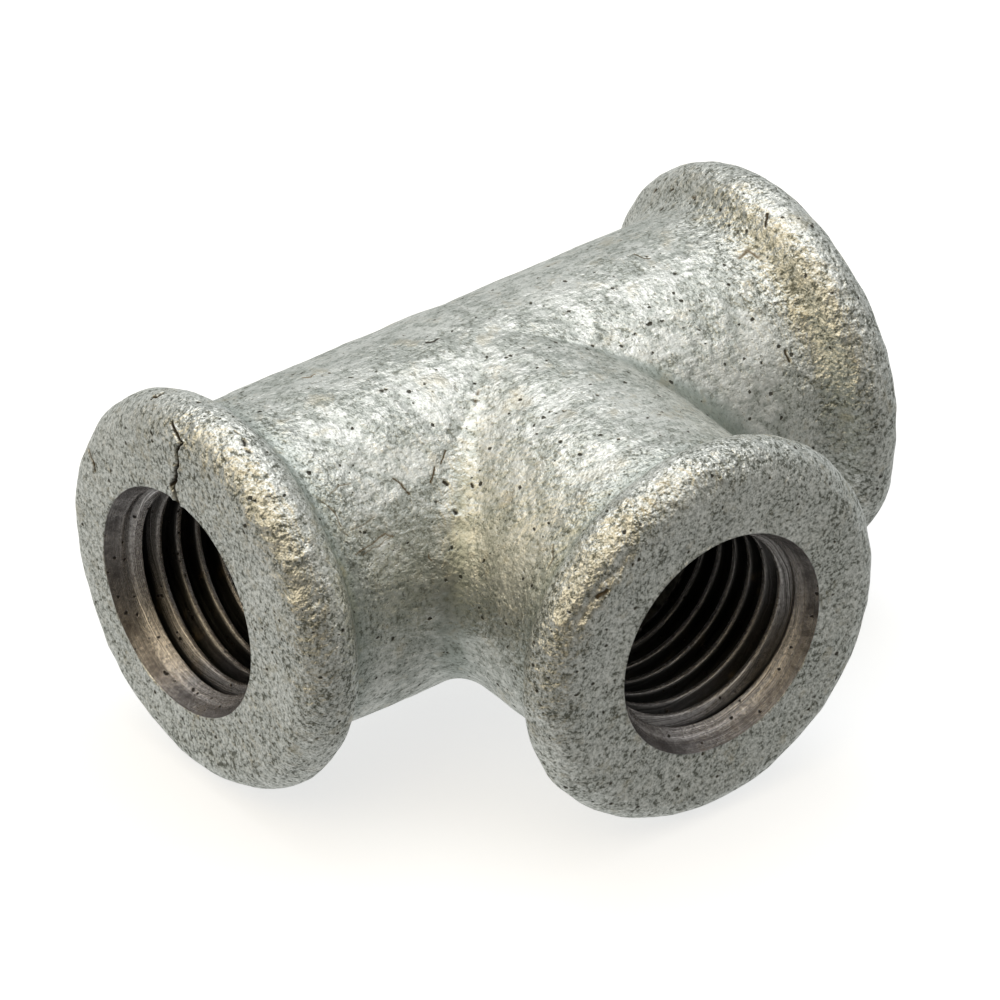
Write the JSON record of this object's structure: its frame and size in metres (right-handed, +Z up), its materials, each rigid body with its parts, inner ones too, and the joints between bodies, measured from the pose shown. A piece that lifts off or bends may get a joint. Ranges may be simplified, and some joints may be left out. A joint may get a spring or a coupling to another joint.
{
  "type": "pipe tee fitting",
  "caption": "Equal pipe tee in galvanised malleable iron, with beaded ends and female pipe threads, joining a branch pipe to a run.",
  "frame": {"origin": "middle of the bounding box's underside, with the tee lying flat on its three beads; the axes of the legs meet at (0, 0.00465, 0.0117)", "axes": "+X along the run, +Z up at right angles to all three legs, and the branch points to -Y"},
  "size_m": [0.042, 0.0326, 0.0234],
  "materials": {
    "galvanised_iron": "matte"
  },
  "bodies": {
    "root": {"body": "galvanised_iron", "run_end_left": "galvanised_iron", "run_end_right": "galvanised_iron", "branch_end": "galvanised_iron"}
  },
  "joints": []
}
